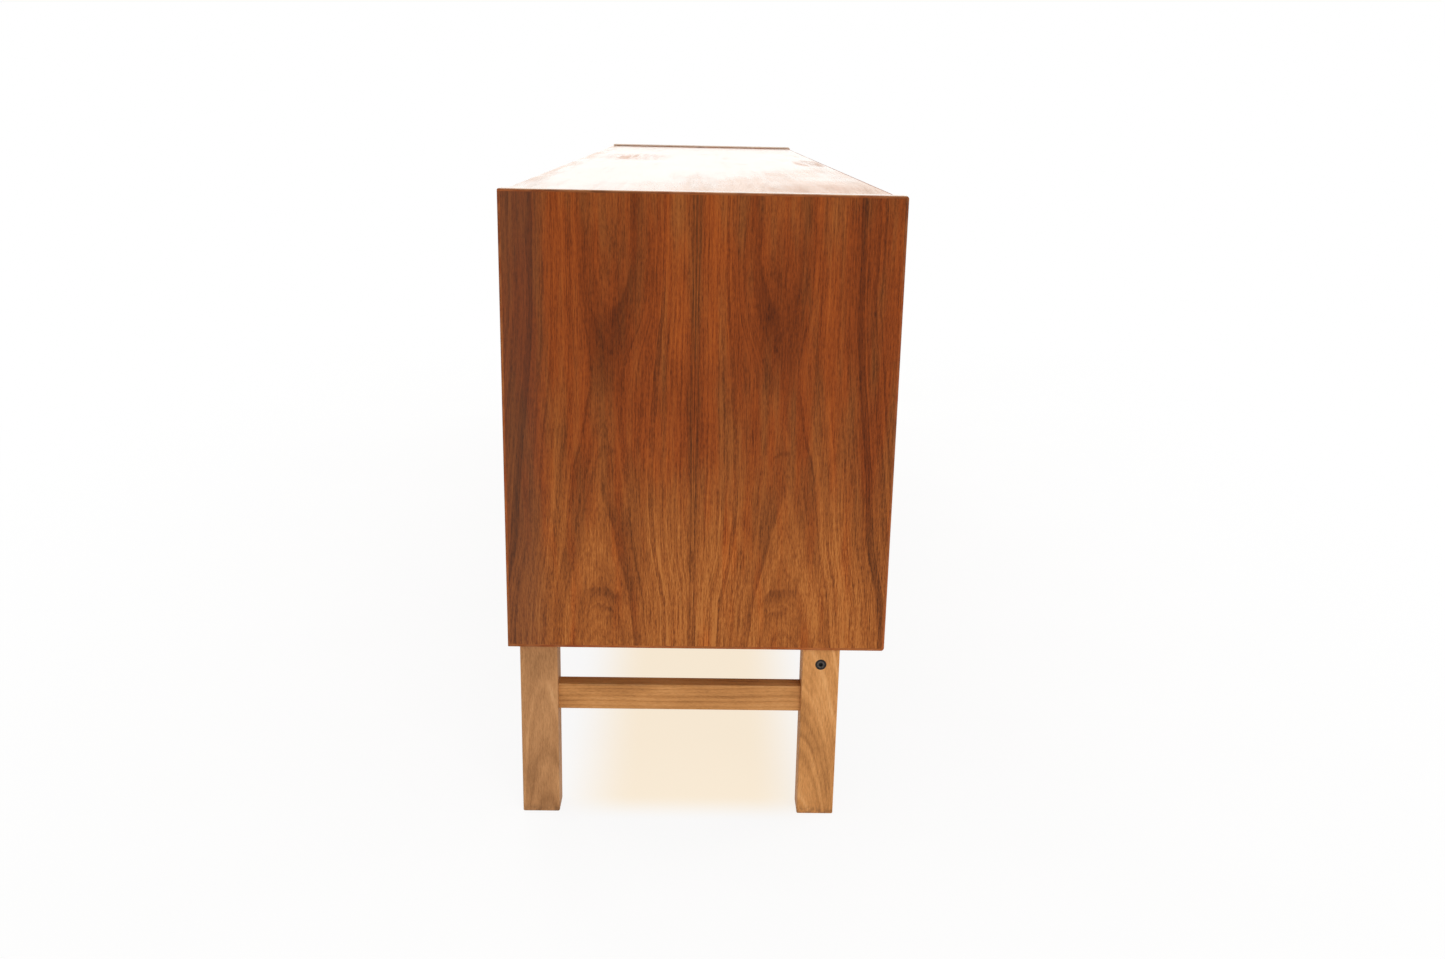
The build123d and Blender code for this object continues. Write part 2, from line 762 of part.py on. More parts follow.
with BuildPart() as rear_long_rail:
    block((-leg_inner, leg_inner), around(rear_leg_mid, long_rail_thickness), (long_rail_low, case_bottom))
    fillet(rear_long_rail.faces().sort_by(Axis.Z)[0].edges().filter_by(Axis.X), radius=long_rail_round)
    for side in sides:
        rail_dowel_holes(side, -rail_dowel_in_rail - dowel_relief, 0)
    with Locations(*at_rail(rear_leg_mid, long_rail_low)):
        rod(base_screw_head + bolt_play, -base_screw_recess, 0, Mode.SUBTRACT)
    with Locations(*at_rail(rear_leg_mid, screw_head_level)):
        screw_hole(base_screw_radius, base_screw_head, base_screw_length)
save(rear_long_rail, "rear_long_rail")

with BuildPart() as dowels:
    dowel_row(end_joints, -dowel_in_board, dowel_in_end)
    dowel_row(upper_joints + lower_joints, -dowel_in_board, dowel_in_top)
    with Locations(rail_joint(-1), rail_joint(1)):
        with GridLocations(rail_dowel_pitch, rail_dowel_pitch, 1, 2):
            rod(rail_dowel_radius, -rail_dowel_in_rail, rail_dowel_in_leg)
save(dowels, "dowels")

with BuildPart() as leg_bolts:
    for side in sides:
        with Locations(bolt_plane(side)):
            with Locations((0, 0, bolt_radius - bolt_head_radius)):
                Cone(bolt_radius, bolt_head_radius, bolt_head_radius - bolt_radius,
                     align=(Align.CENTER, Align.CENTER, Align.MIN))
            rod(bolt_radius, -bolt_length, bolt_radius - bolt_head_radius)
        with BuildSketch(bolt_plane(side)):
            RegularPolygon(socket_radius, 6)
        extrude(amount=-socket_depth, mode=Mode.SUBTRACT)
save(leg_bolts, "leg_bolts")

with BuildPart() as barrel_nuts:
    for side in sides:
        with Locations(nut_plane(side)):
            rod(nut_radius, -nut_length / 2, nut_length / 2)
        with Locations(bolt_plane(side)):
            rod(bolt_radius + glue_gap, -bolt_length, -leg_thickness, Mode.SUBTRACT)
save(barrel_nuts, "barrel_nuts")
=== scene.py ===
import math

import bpy
from mathutils import Matrix, Vector


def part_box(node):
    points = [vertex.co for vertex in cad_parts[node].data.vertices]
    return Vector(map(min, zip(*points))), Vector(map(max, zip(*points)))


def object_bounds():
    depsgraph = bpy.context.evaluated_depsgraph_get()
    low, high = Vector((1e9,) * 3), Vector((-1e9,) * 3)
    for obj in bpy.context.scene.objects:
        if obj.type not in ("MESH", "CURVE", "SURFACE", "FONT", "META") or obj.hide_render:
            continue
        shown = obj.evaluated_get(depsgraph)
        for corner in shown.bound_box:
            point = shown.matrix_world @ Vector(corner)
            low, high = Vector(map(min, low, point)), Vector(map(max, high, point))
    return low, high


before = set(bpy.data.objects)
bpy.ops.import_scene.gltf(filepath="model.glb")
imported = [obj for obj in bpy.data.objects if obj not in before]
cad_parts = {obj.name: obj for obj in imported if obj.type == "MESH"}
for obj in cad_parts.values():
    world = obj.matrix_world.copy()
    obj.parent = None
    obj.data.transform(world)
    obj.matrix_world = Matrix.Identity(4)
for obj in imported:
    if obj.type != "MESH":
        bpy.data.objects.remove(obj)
cad_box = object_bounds()
bpy.ops.object.select_all(action="DESELECT")


# Legs
# Four square legs in a pale solid hardwood, each sawn from its own stick, so that the rings lie differently
# in each. Their long edges are eased with a plane, and they carry a thin satin lacquer that is rubbed pale
# along the edges and scuffed dark at the feet.


class Shade:
    """One worked-out value of a finish: a sum on it adds the nodes that work it out."""

    def __init__(self, tree, socket=None):
        self.tree = tree
        self.socket = socket

    def node(self, kind, settings=None, sockets=None, out=0):
        """Adds a node: its settings first, then the values or links of its sockets."""
        made = self.tree.nodes.new(kind)
        for name, value in (settings or {}).items():
            if name == "stops":
                ramp = made.color_ramp.elements
                while len(ramp) < len(value):
                    ramp.new(1.0)
                for stop, (position, colour) in zip(ramp, value):
                    stop.position = position
                    stop.color = (*colour, 1.0) if isinstance(colour, tuple) else (colour, colour, colour, 1)
            else:
                setattr(made, name, value)
        for name, value in (sockets or {}).items():
            if isinstance(value, Shade):
                self.tree.links.new(value.socket, made.inputs[name])
            else:
                made.inputs[name].default_value = value
        return Shade(self.tree, made.outputs[out] if made.outputs else None)

    def also(self, out):
        """Another output of the node that gave this value."""
        return Shade(self.tree, self.socket.node.outputs[out])

    def sum(self, operation, *terms):
        return self.node("ShaderNodeMath", {"operation": operation}, dict(enumerate(terms)))

    def __add__(self, other):
        return self.sum("ADD", self, other)

    def __radd__(self, other):
        return self.sum("ADD", other, self)

    def __sub__(self, other):
        return self.sum("SUBTRACT", self, other)

    def __rsub__(self, other):
        return self.sum("SUBTRACT", other, self)

    def __mul__(self, other):
        return self.sum("MULTIPLY", self, other)

    def __rmul__(self, other):
        return self.sum("MULTIPLY", other, self)

    def __truediv__(self, other):
        return self.sum("DIVIDE", self, other)

    def __pow__(self, other):
        return self.sum("POWER", self, other)

    def __abs__(self):
        return self.sum("ABSOLUTE", self)

    def __gt__(self, other):
        return self.sum("GREATER_THAN", self, other)

    def __lt__(self, other):
        return self.sum("LESS_THAN", self, other)

    def root(self):
        return self.sum("SQRT", self)

    def least(self, other):
        return self.sum("MINIMUM", self, other)

    def most(self, other):
        return self.sum("MAXIMUM", self, other)

    def rise(self, low, high):
        """0 below low, 1 above high, and a smooth step between."""
        return self.node("ShaderNodeMapRange", {"interpolation_type": "SMOOTHSTEP"},
                         {"Value": self, "From Min": low, "From Max": high})

    def tones(self, *stops):
        """A colour, or a grey value, for each stop along this value."""
        return self.node("ShaderNodeValToRGB", {"stops": stops}, {"Fac": self})

    def blend(self, under, over):
        """This value lays the colour over on the colour under."""
        return self.node("ShaderNodeMix", {"data_type": "RGBA", "clamp_factor": True},
                         {0: self, 6: under, 7: over}, out=2)


def new_finish(name):
    """An empty material, and where a point of the piece lies, in millimetres along each axis."""
    finish = bpy.data.materials.new(name)
    finish.use_nodes = True
    finish.node_tree.nodes.clear()
    place = Shade(finish.node_tree).node("ShaderNodeTexCoord", out="Object")
    x = place.node("ShaderNodeSeparateXYZ", None, {"Vector": place})
    return finish, (x * 1000, x.also("Y") * 1000, x.also("Z") * 1000)


def cloud(a, b, c=0.0, detail=2.0):
    """Soft noise over up to three directions, from 0 to 1 and mostly near a half. Each direction comes in as
    millimetres times how many swells there are to the millimetre, so grain has a small number along it."""
    spot = a.node("ShaderNodeCombineXYZ", None, {"X": a, "Y": b, "Z": c})
    return spot.node("ShaderNodeTexNoise", None, {"Vector": spot, "Scale": 1.0, "Detail": detail})


def lines(a, seed=0.0, detail=2.0):
    """Soft noise along one direction, from 0 to 1 and mostly near a half."""
    return a.node("ShaderNodeTexNoise", {"noise_dimensions": "1D"},
                  {"W": a + seed, "Scale": 1.0, "Detail": detail})


def corners(node):
    """The lowest and the highest corner of a piece at rest, in millimetres."""
    low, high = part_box(node)
    return low * 1000, high * 1000


def edge(axes, node, width):
    """1 at the edges of a square-cut piece, falling to 0 that many millimetres in from them. Only where two
    faces meet is the middle one of the three depths small."""
    low, high = corners(node)
    a, b, c = [(axis - start).least(end - axis) for axis, start, end in zip(axes, low, high)]
    return 1 - a.least(b).most(a.most(b).least(c)).rise(0.0, width)


def lay_on(finish, colour, roughness, height, depth, fixed):
    """Puts the colour, the roughness, a relief that many metres deep and the fixed values on the shader."""
    relief = height.node("ShaderNodeBump", None, {"Height": height, "Strength": 1.0, "Distance": depth})
    sockets = {"Base Color": colour, "Roughness": roughness, "Normal": relief}
    sockets.update(fixed)
    face = relief.node("ShaderNodeBsdfPrincipled", None, sockets)
    face.node("ShaderNodeOutputMaterial", None, {"Surface": face})
    return finish


def dress(finish, *nodes):
    """Gives these CAD nodes this finish and no other."""
    for node in nodes:
        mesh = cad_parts[node].data
        mesh.materials.clear()
        mesh.materials.append(finish)


satin = {"Specular IOR Level": 0.12}
pore_brown = (0.19, 0.085, 0.032, 1.0)
rubbed_wood = (0.70, 0.40, 0.18, 1.0)
sawn_relief = 0.00018


def sawn_wood(node, run, pith, lean, tint, ring_width, contrast):
    """Solid wood: run is the axis that the grain follows, and pith and lean place the heart of the log
    beside the piece."""
    finish, axes = new_finish(node + "_wood")
    along = axes["xyz".index(run)]
    a, b = [axis for axis, letter in zip(axes, "xyz") if letter != run]
    waver = (cloud(a * 0.012, b * 0.012, along * 0.007) - 0.5) * 7
    out_a = a - (pith[0] + along * lean[0])
    out_b = b - (pith[1] + along * lean[1])
    ring = (out_a ** 2 + out_b ** 2).root() + waver
    rings = lines(ring / ring_width, pith[0], 1.0)
    streak = cloud(a * 0.7, b * 0.7, along * 0.012, 4.0)
    broad = cloud(a * 0.03, b * 0.03, along * 0.012)
    fleck = cloud(a * 0.9, b * 0.9, along * 0.24)
    pores = cloud(a * 1.2, b * 1.2, along * 0.10, 1.0).rise(0.56, 0.70)
    worn = edge(axes, node, 3.0) * cloud(a * 0.08, b * 0.08, along * 0.05).rise(0.35, 0.62)
    figure = (rings - 0.5) * 0.80 + (streak - 0.5) * 0.4 + (broad - 0.5) * 1.4 + (fleck - 0.5) * 0.6
    colour = (0.5 + figure * contrast).tones(*tint)
    colour = (pores * 0.22).blend(colour, pore_brown)
    colour = (worn * 0.25).blend(colour, rubbed_wood)
    roughness = 0.5 + pores * 0.15 + (broad - 0.5) * 0.25 - worn * 0.1
    return finish, colour, roughness, streak * 0.4 - pores * 0.8, axes


honey = ((0.15, (0.320, 0.130, 0.040)), (0.40, (0.510, 0.222, 0.068)),
         (0.60, (0.640, 0.290, 0.094)), (0.90, (0.780, 0.395, 0.150)))
fawn = ((0.15, (0.265, 0.122, 0.047)), (0.40, (0.422, 0.202, 0.081)),
        (0.60, (0.528, 0.262, 0.108)), (0.90, (0.680, 0.370, 0.170)))
foot_dirt = (0.16, 0.085, 0.045, 1.0)
scuff_height = 14.0

for leg, pith, lean, tint, ring_width, contrast in (
    ("front_left_leg", (-1024.0, -121.0), (-0.17, 0.0), honey, 3.0, 0.70),
    ("rear_left_leg", (-1034.0, 176.0), (-0.07, 0.02), fawn, 2.4, 0.60),
    ("front_right_leg", (1026.0, -172.0), (0.11, 0.02), honey, 3.0, 0.70),
    ("rear_right_leg", (1060.0, 170.0), (0.08, -0.03), fawn, 2.4, 0.60),
):
    finish, colour, roughness, height, axes = sawn_wood(leg, "z", pith, lean, tint, ring_width, contrast)
    x, y, z = axes
    scuffed = (1 - z.rise(0.0, scuff_height)) * cloud(x * 0.2, y * 0.2, z * 0.2).rise(0.4, 0.6)
    colour = (scuffed * 0.45).blend(colour, foot_dirt)
    dress(lay_on(finish, colour, roughness + scuffed * 0.15, height, sawn_relief, satin), leg)


# Cross rails
# One rail between the legs of each end, in the same wood as the legs, with a tenon at each end glued into
# them. The grain runs along the rail, and its four long edges are eased.

amber = ((0.15, (0.280, 0.112, 0.034)), (0.40, (0.452, 0.196, 0.060)),
         (0.60, (0.565, 0.256, 0.083)), (0.90, (0.690, 0.348, 0.133)))

for rail, pith in (("left_cross_rail", (-1060.0, 230.0)), ("right_cross_rail", (1055.0, 60.0))):
    finish, colour, roughness, height, axes = sawn_wood(rail, "y", pith, (0.03, 0.02), amber, 2.6, 0.6)
    dress(lay_on(finish, colour, roughness, height, sawn_relief, satin), rail)


# Long rails
# Two rails under the case that join the leg frames, set back from its edges: the front one is bolted, the
# rear one dowelled. The same wood again, sawn straight and planed, with a little less lacquer.

rail_relief = 0.0002

for rail, pith in (("front_long_rail", (-60.0, 250.0)), ("rear_long_rail", (270.0, 120.0))):
    finish, colour, roughness, height, axes = sawn_wood(rail, "x", pith, (0.015, 0.01), fawn, 2.6, 0.9)
    dress(lay_on(finish, colour, roughness + 0.08, height, rail_relief, satin), rail)


# Leg bolts
# Black countersunk bolts with a hexagon socket, one through each front leg into the front long rail. The
# blacking has rubbed thin round the socket and the rim.

bolt_low, bolt_high = corners("leg_bolts")
bolt_middle = (bolt_low + bolt_high) / 2
head_radius = (bolt_high.y - bolt_low.y) / 2
socket_radius = 3.5
rubbed_steel = (0.11, 0.095, 0.085, 1.0)
bolt_relief = 0.00005
blacked = {"Metallic": 0.5, "Specular IOR Level": 0.3}

finish, (x, y, z) = new_finish("blacked_steel")
out = ((y - bolt_middle.y) ** 2 + (z - bolt_middle.z) ** 2).root()
patchy = cloud(y * 0.9, z * 0.9, x * 0.9)
rim = out.rise(head_radius - 1.1, head_radius) * patchy.rise(0.45, 0.65)
collar = (1 - abs(out - socket_radius).rise(0.5, 1.2)) * patchy.rise(0.25, 0.50)
rubbed = (rim * 0.5).most(collar * 0.75)
grit = cloud(x * 3.0, y * 3.0, z * 3.0, 4.0)
blacking = grit.tones((0.3, (0.011, 0.010, 0.009)), (0.7, (0.026, 0.023, 0.021)))
colour = rubbed.blend(blacking, rubbed_steel)
roughness = 0.45 + (grit - 0.5) * 0.3 - rubbed * 0.1
dress(lay_on(finish, colour, roughness, grit, bolt_relief, blacked), "leg_bolts")


# Barrel nuts and screws
# Steel nuts across the front long rail for the leg bolts, and slotted steel screws for the base, the back
# and the drawer runners. They have fine turning marks and are dull in patches.

bright_steel = (0.56, 0.55, 0.53, 1.0)
dull_steel = (0.36, 0.34, 0.31, 1.0)
turning_relief = 0.00004
bare_metal = {"Metallic": 1.0}

finish, (x, y, z) = new_finish("turned_steel")
turned = cloud(x * 0.6, y * 0.6, z * 9.0)
dull = cloud(x * 0.35, y * 0.35, z * 0.35, 3.0).rise(0.35, 0.65)
colour = dull.blend(bright_steel, dull_steel)
roughness = 0.28 + dull * 0.2 + (turned - 0.5) * 0.2
dress(lay_on(finish, colour, roughness, turned, turning_relief, bare_metal),
      "barrel_nuts", "base_screws", "small_screws")


# Dowels
# Plain birch dowels that join the panels of the case and the rear long rail, all of them inside their
# joints, pale and dry, with smears of glue.

dowel_birch = ((0.3, (0.50, 0.34, 0.18)), (0.7, (0.70, 0.52, 0.32)))
dried_glue = (0.62, 0.46, 0.22, 1.0)
dowel_relief = 0.0001
bare_wood = {"Specular IOR Level": 0.3}

finish, (x, y, z) = new_finish("birch_dowel")
fibre = cloud(x * 0.9, y * 0.9, z * 0.9, 4.0)
glued = cloud(x * 0.12, y * 0.12, z * 0.12).rise(0.5, 0.65)
colour = (glued * 0.4).blend(fibre.tones(*dowel_birch), dried_glue)
dress(lay_on(finish, colour, 0.7 - glued * 0.2, fibre, dowel_relief, bare_wood), "dowels")


# End panels
# Board faced with two book-matched leaves of figured walnut veneer: the second leaf mirrors the first at a
# seam near the middle. Grain runs up the panel, with pointed arches below and a V above, under a satin
# lacquer.


def flitch(across, along, heart, depth, seed, blunt=1.4, spread=90.0):
    """The growth rings that a sliced leaf shows, and which side of its heart a point lies on. Across is
    measured from the seam, heart is how far off it the arches stand and depth is how far the slice is from
    the log's pith. Blunt rounds the tips of the arches, and beyond spread the grain runs straight."""
    straight_depth = 60.0
    flare = 33.0
    sway = (cloud(across * 0.020 + seed, along * 0.004) - 0.5) * 4
    sway = sway + (cloud(across * 0.08 + seed, along * 0.012) - 0.5) * 2.4
    ripple = (cloud(across * 0.30 + seed, along * 0.045) - 0.5) * 1.6
    off = across - heart + sway + ripple
    beside = (off * off + blunt * blunt).root() - blunt
    near = straight_depth + (depth - straight_depth) * (1 - beside.rise(12.0, spread) * 0.94)
    tremble = (cloud(across * 0.05, along * 0.02 + seed) - 0.5) * 2.6
    ring = (beside * beside + beside * flare + near * near).root() + tremble
    return ring, off > 0.0


def walnut_tone(ring, outer, across, along, seed):
    """How light the wood is at each ring, 0 for the darkest vein and 1 for the palest band."""
    far = ring / 160.0
    middle = ((0.0, 0.52), (0.215, 0.54), (0.236, 0.52), (0.248, 0.49), (0.258, 0.51), (0.276, 0.58),
              (0.300, 0.68))
    outside = far.tones(*middle, (0.352, 0.70), (0.366, 0.46), (0.374, 0.52), (0.382, 0.36), (0.392, 0.48),
                        (0.410, 0.40), (0.430, 0.36), (0.450, 0.50), (0.475, 0.66), (0.510, 0.60),
                        (0.550, 0.72), (0.600, 0.64), (0.640, 0.58), (0.680, 0.48), (0.726, 0.34),
                        (0.740, 0.0), (0.750, 0.05), (0.766, 0.30), (0.820, 0.36), (0.880, 0.44),
                        (0.940, 0.52))
    inside = far.tones(*middle, (0.348, 0.68), (0.358, 0.23), (0.370, 0.22), (0.380, 0.42), (0.388, 0.27),
                       (0.400, 0.46), (0.440, 0.46), (0.500, 0.50), (0.530, 0.58), (0.580, 0.60),
                       (0.640, 0.66), (0.665, 0.56), (0.700, 0.64), (0.740, 0.60), (0.760, 0.42),
                       (0.790, 0.32), (0.850, 0.34), (0.900, 0.38))
    tone = outer.blend(inside, outside)
    split = (ring - 66.0).rise(0.0, 4.0) * outer
    fine = split.blend(lines(ring * 0.30, 7.0 + seed), lines(ring * 0.30, 31.0 + seed))
    finer = split.blend(lines(ring * 0.90, 3.0 + seed), lines(ring * 0.90, 57.0 + seed))
    streak = cloud(ring * 0.60 + outer * 40.0, along * 0.008 + seed, across * 0.02, 4.0)
    fibre = cloud(across * 0.6, along * 0.028 + seed, 0.0, 4.0)
    fleck = cloud(across * 1.1, along * 0.17 + seed)
    broad = cloud(across * 0.03, along * 0.008 + seed, 0.0, 3.0)
    clear = 0.3 + ring.rise(60.0, 78.0) * 0.7
    ringed = (fine - 0.5) * 0.62 + (finer - 0.5) * 0.45 + (streak - 0.5) * 0.56
    grain = (fibre - 0.5) * 0.95 + (fleck - 0.5) * 0.92 + ringed * clear
    patches = (broad - 0.5) * (0.40 - ring.rise(66.0, 100.0) * 0.18)
    return 0.56 + (tone - 0.53) * 0.54 + grain - grain.most(0.0) * 0.45 + patches


walnut_pore = (0.058, 0.0155, 0.0035, 1.0)


def walnut_face(tone, across, along, dry=0.0, seed=0.0, redder=0.0):
    """Colour, roughness and relief of walnut of that tone; dry is 0 for full lacquer and 1 for none."""
    red = tone.tones((0.0, (0.070, 0.0140, 0.0028)), (0.30, (0.160, 0.031, 0.0045)),
                     (0.55, (0.262, 0.053, 0.0078)), (0.80, (0.380, 0.086, 0.012)),
                     (1.0, (0.500, 0.138, 0.023)))
    tan = tone.tones((0.0, (0.068, 0.0195, 0.0052)), (0.30, (0.150, 0.041, 0.0085)),
                     (0.55, (0.250, 0.069, 0.0140)), (0.80, (0.364, 0.108, 0.021)),
                     (1.0, (0.484, 0.168, 0.037)))
    warmth = (cloud(across * 0.06 + 9.0, along * 0.006 + seed, 0.0, 3.0) + redder).rise(0.34, 0.66)
    colour = warmth.blend(tan, red)
    pores = cloud(across * 1.3 + seed, along * 0.040, 0.0, 1.0).rise(0.58, 0.72)
    colour = (pores * 0.34).blend(colour, walnut_pore)
    haze = cloud(across * 0.011 + 4.0, along * 0.008, 0.0, 3.0)
    roughness = 0.36 + dry * 0.3 + pores * 0.18 + (haze - 0.5) * 0.30
    return colour, roughness, tone * 0.15 - pores


def blot(a, b, middle, size):
    """1 in the middle of a soft oval of that size to each side, and 0 outside it."""
    return 1 - (((a - middle[0]) / size[0]) ** 2 + ((b - middle[1]) / size[1]) ** 2).rise(0.1, 1.1)


end_low, end_high = corners("end_lippings")
veneer_relief = 0.00012
end_seam = 6.5
arch_off = 90.0
v_foot = 205.0
arch_bend = 90.0
brows = ((284.0, 16.0, 8.0, 0.10), (448.0, 26.0, 16.0, 0.15), (471.0, 14.0, 12.0, 0.12))
rear_edge_painted_shade = (0.115, 0.047, 0.027, 1.0)

for end, seed in (("left_end_panel", 0.0), ("right_end_panel", 13.0)):
    finish, (x, y, z) = new_finish(end + "_veneer")
    down = end_high.z - z + (cloud(y * 0.006 + seed, z * 0.003) - 0.5) * 18
    across = abs(y - end_seam)
    drift = down.rise(90.0, 330.0) * across.rise(0.0, 75.0) * (1 - across.rise(110.0, 190.0) * 0.3)
    fan = 1.07 - down.rise(110.0, 180.0) * 0.07 - down.rise(120.0, 640.0) * (0.05 + (across > 100.0) * 0.19)
    spot = (across - arch_off - drift * 15.0) * fan
    # The slice nears the pith above the foot of the V, and again down the arches
    above = 15.6 * (1 - down.rise(60.0, v_foot))
    below = 0.14 * ((arch_bend * arch_bend + (down - v_foot).most(0.0) ** 2).root() - arch_bend)
    arch = (1 - abs(spot).rise(14.0, 46.0)) * (down - 415.0).most(0.0) ** 2 * 0.0013
    blunt = 8.0 - down.rise(110.0, 180.0) * 6.6 + down.rise(390.0, 470.0) * 7.0
    ring, outer = flitch(spot, down, 0.0, 66.0 - above - below - arch, seed, blunt, 62.0)
    # A dark vein along the seam, widest where it swells to a spindle, and a bright band beside its upper end
    spindle = 1 - abs(down - 250.0).rise(10.0, 75.0)
    strayed = across + (cloud(across * 0.5, down * 0.012) - 0.5) * 8
    vein = 1 - strayed.rise(2.0 + spindle * 2.0, 7.0 + spindle * 5.0)
    vein = vein * lines(across * 0.8 + down * 0.002, 4.0).rise(0.36, 0.56)
    bright = across.rise(5.0, 12.0) * (1 - across.rise(24.0, 42.0)) * (1 - down.rise(165.0, 205.0))
    # Smoky wood inside the V, and dark brows across the arches
    smoke = blot(across, down, (94.0, 125.0), (36.0, 115.0))
    smoke = smoke * (0.45 + cloud(y * 0.06 + seed, down * 0.016, 0.0, 3.0).rise(0.42, 0.62) * 0.55)
    waved = down + (cloud(y * 0.05 + seed, down * 0.02) - 0.5) * 34 - spot * spot * 0.02
    brow = 0.0
    for level, reach, soft, dark in brows:
        fold = (waved - level).rise(-2.0, 1.5) * (1 - (waved - level).rise(1.5, soft))
        fold = fold * (1 - abs(spot + 4.0).rise(reach * 0.4, reach)) * dark
        brow = fold * (1.3 - spot.rise(-14.0, 14.0) * 0.6) + brow
    pale = blot(across, down, (95.0, 285.0), (45.0, 80.0)) * 0.07
    pale = pale + blot(across, down, (0.0, 440.0), (75.0, 170.0)) * 0.05
    tone = walnut_tone(ring, outer, y, down, seed) - vein * 0.30 + bright * 0.09 - smoke * 0.20 - brow + pale
    # The lower half is lighter, partly the wood's own tone and partly painted light from the floor below,
    # and painted light makes it lighter towards the front, the side where the light falls more
    tone = tone - y * down.rise(150.0, 420.0) * 0.0002
    tone = tone * (0.95 + down.rise(200.0, 540.0) * 0.48) - 0.03
    redder = down.rise(0.0, 80.0) * 0.11 - down.rise(120.0, 480.0) * 0.27 + 0.01 - vein * 0.15
    colour, roughness, height = walnut_face(tone, y, down, 0.0, seed, redder)
    # The strip along the rear edge is darker: painted shade on the side the light falls less on
    colour = (y.rise(160.0, 195.0) * 0.40).blend(colour, rear_edge_painted_shade)
    dress(lay_on(finish, colour, roughness, height, veneer_relief, satin), end)


# End lippings
# Thin strips of solid walnut glued round each end panel and planed flush, with rounded front corners. The
# upright strips run with the panel's grain, and the top and bottom ones lie across it. Low down they are
# lighter, like the panel, partly in their own tone and partly as painted light. The top ones are lacquered
# like the top, with a pale arris along the outer edge that is partly wear and partly a painted highlight,
# and a painted glare on the inner face where they stand above it.


def solid_walnut(along, a, b, dark):
    """Colour, roughness and relief of solid walnut with its grain along one direction."""
    streak = cloud(a * 0.40, b * 0.40, along * 0.006, 4.0)
    band = cloud(a * 0.07, b * 0.07, along * 0.003)
    fibre = cloud(a, b, along * 0.040, 4.0)
    fleck = cloud(a * 1.4, b * 1.4, along * 0.20)
    figure = (streak - 0.5) + (band - 0.5) * 0.8 + (fibre - 0.5) * 0.9 + (fleck - 0.5) * 0.6
    return walnut_face(0.50 - dark + figure, a + b, along)


panel_low, panel_high = corners("right_end_panel")
top_face = corners("top_panel")[1].z
glue_line = 0.1
corner_wear = (0.42, 0.17, 0.06, 1.0)
arris_wear_and_highlight = (0.70, 0.42, 0.22, 1.0)
painted_lip_glare = (0.92, 0.80, 0.64, 1.0)
smooth_relief = 0.00005

finish, axes = new_finish("walnut_lipping")
x, y, z = axes
lying = (z > panel_high.z - glue_line) + (z < panel_low.z + glue_line)
along = z + lying * (y - z)
beside = y + lying * (z - y)
# Lighter low down, like the panel: partly the wood's tone, partly painted light
lower_tone_and_light = 1 - z.rise(end_low.z + 2.0, end_low.z + 203.0)
colour, roughness, height = solid_walnut(along, x, beside, 0.03 - lower_tone_and_light * 0.20)
corner = edge(axes, "end_lippings", 5.0) * cloud(x * 0.1, y * 0.06, z * 0.06).rise(0.4, 0.62)
colour = (corner * 0.35).blend(colour, corner_wear)
# A pale line along the outer top edge: partly wear, partly a painted highlight
arris = z.rise(end_high.z - 1.3, end_high.z - 0.4) * abs(x).rise(end_high.x - 2.2, end_high.x - 0.8)
arris = arris * (0.4 + cloud(y * 0.03, x * 0.1).rise(0.4, 0.6) * 0.6)
colour = (arris * 0.6).blend(colour, arris_wear_and_highlight)
# Painted glare on the inner face of the lip where it stands above the top, strongest on the far end
inner = z.rise(top_face - 0.5, top_face + 0.5) * (1 - abs(x).rise(panel_low.x + 0.15, panel_low.x + 0.7))
colour = (inner * (0.45 + (x > 0.0) * 0.30)).blend(colour, painted_lip_glare)
lacquer = z.rise(end_high.z - 1.4, end_high.z - 0.2)
gloss = {"Specular IOR Level": 0.2, "Coat Roughness": 0.15, "Coat Weight": lacquer}
dress(lay_on(finish, colour, roughness + corner * 0.08, height, smooth_relief, gloss), "end_lippings")


# Top, bottom, shelves
# Boards faced with walnut leaves whose grain runs the length of the case, two leaves wide and book-matched
# along the middle. The top has the most lacquer, dulled and bleached where it was handled, wiped and stood
# on; the shelves have the least.


def long_board(name, seam, heart, dry, seed):
    """Veneer with its grain along the case: seam is where the two leaves meet, and heart is how far off it
    the arches stand."""
    finish, (x, y, z) = new_finish(name)
    depth = 50.0 + 34.0 * lines(x * 0.0026, seed, 1.0)
    wandering = heart + (lines(x * 0.002, seed + 5.0, 1.0) - 0.5) * 40
    ring, outer = flitch(abs(y - seam), x, wandering, depth, seed)
    tone = walnut_tone(ring, outer, y, x, seed)
    return finish, x, y, tone, *walnut_face(tone, y, x, dry, seed, -0.06)


bleached_top = (0.60, 0.28, 0.10, 1.0)
worn_spots = (((170.0, 138.0), (190.0, 32.0), 1.0), ((190.0, 130.0), (230.0, 85.0), 0.4),
              ((0.0, -192.0), (180.0, 36.0), 1.0), ((-840.0, -143.0), (150.0, 80.0), 0.7))

